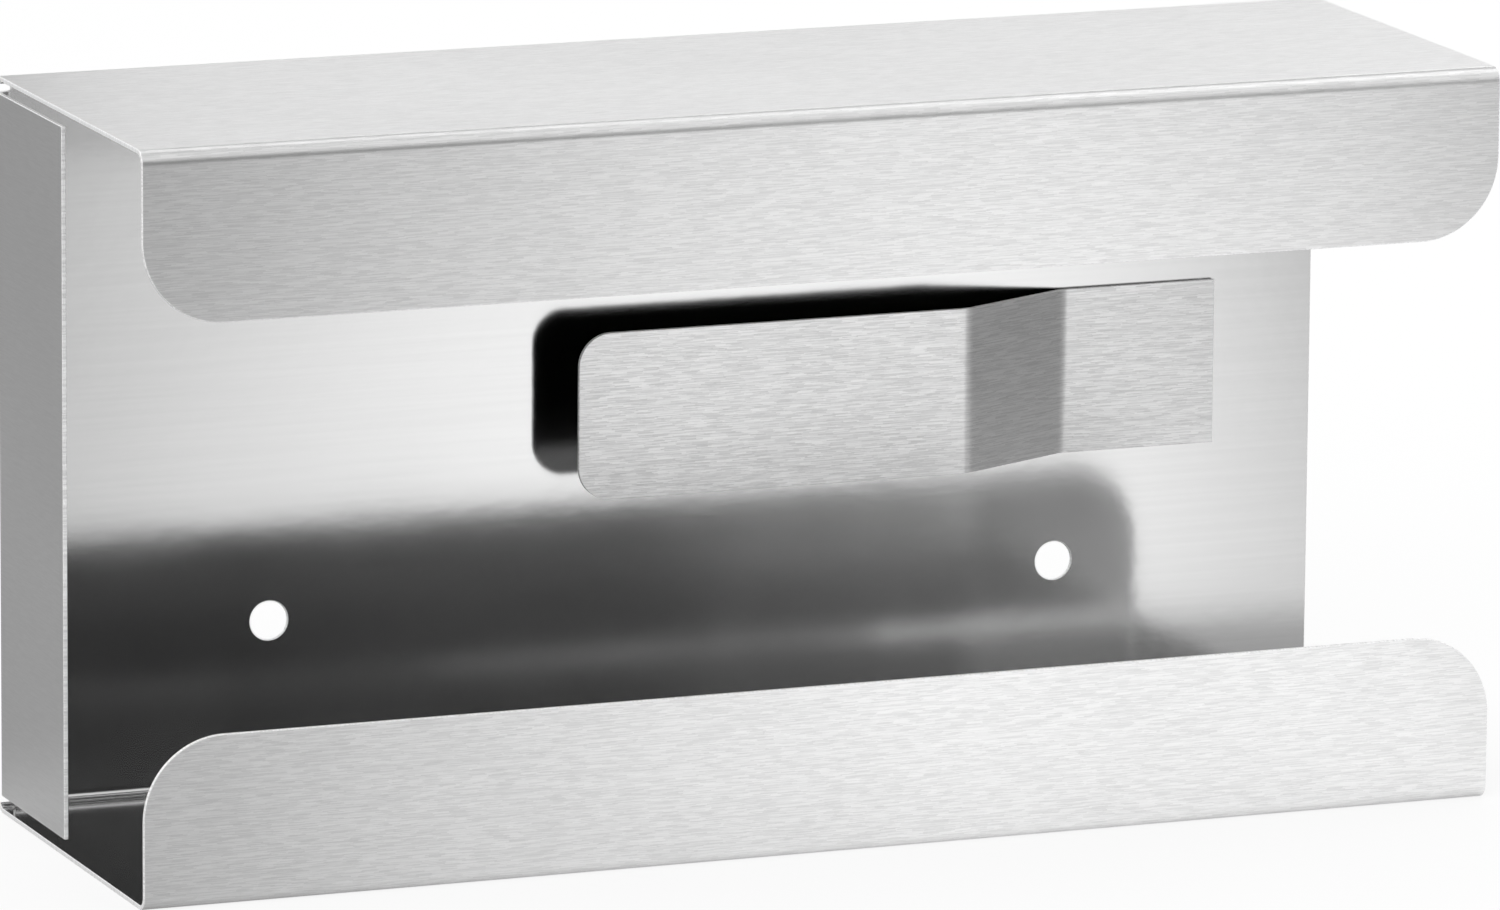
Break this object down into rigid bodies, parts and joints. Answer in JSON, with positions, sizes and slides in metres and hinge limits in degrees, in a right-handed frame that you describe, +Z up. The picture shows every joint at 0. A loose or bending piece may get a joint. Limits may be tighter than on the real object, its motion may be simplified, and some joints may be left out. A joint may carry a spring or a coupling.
{
  "type": "disposable glove dispenser",
  "caption": "Disposable glove dispenser: folded stainless housing with an open front slot, an open loading end and a leaf spring that presses the glove carton forward.",
  "frame": {"origin": "on the standing plane, under the middle of the housing", "axes": "+X along the wall towards the open loading end, +Y towards the wall, +Z up; the front slot faces -Y"},
  "size_m": [0.25, 0.08, 0.131],
  "materials": {
    "satin_sheet": "stainless sheet 0.8 mm, satin-brushed outside with the grain along the wall, smooth and half mirror-like inside",
    "spring_strip": "stainless spring strip 0.8 mm, brushed along its length"
  },
  "bodies": {
    "housing": {"housing": "satin_sheet", "leaf_spring_foot": "spring_strip"},
    "leaf_blade": {"leaf_spring_blade": "spring_strip"}
  },
  "joints": [
    {"name": "leaf_flex", "type": "hinge", "parent": "housing", "child": "leaf_blade", "pos_m": [0.07664, 0.0385, 0.0655], "axis": [0, 0, -1], "range_deg": [0, 6.3], "stiffness_Nm_per_rad": 7.5}
  ]
}
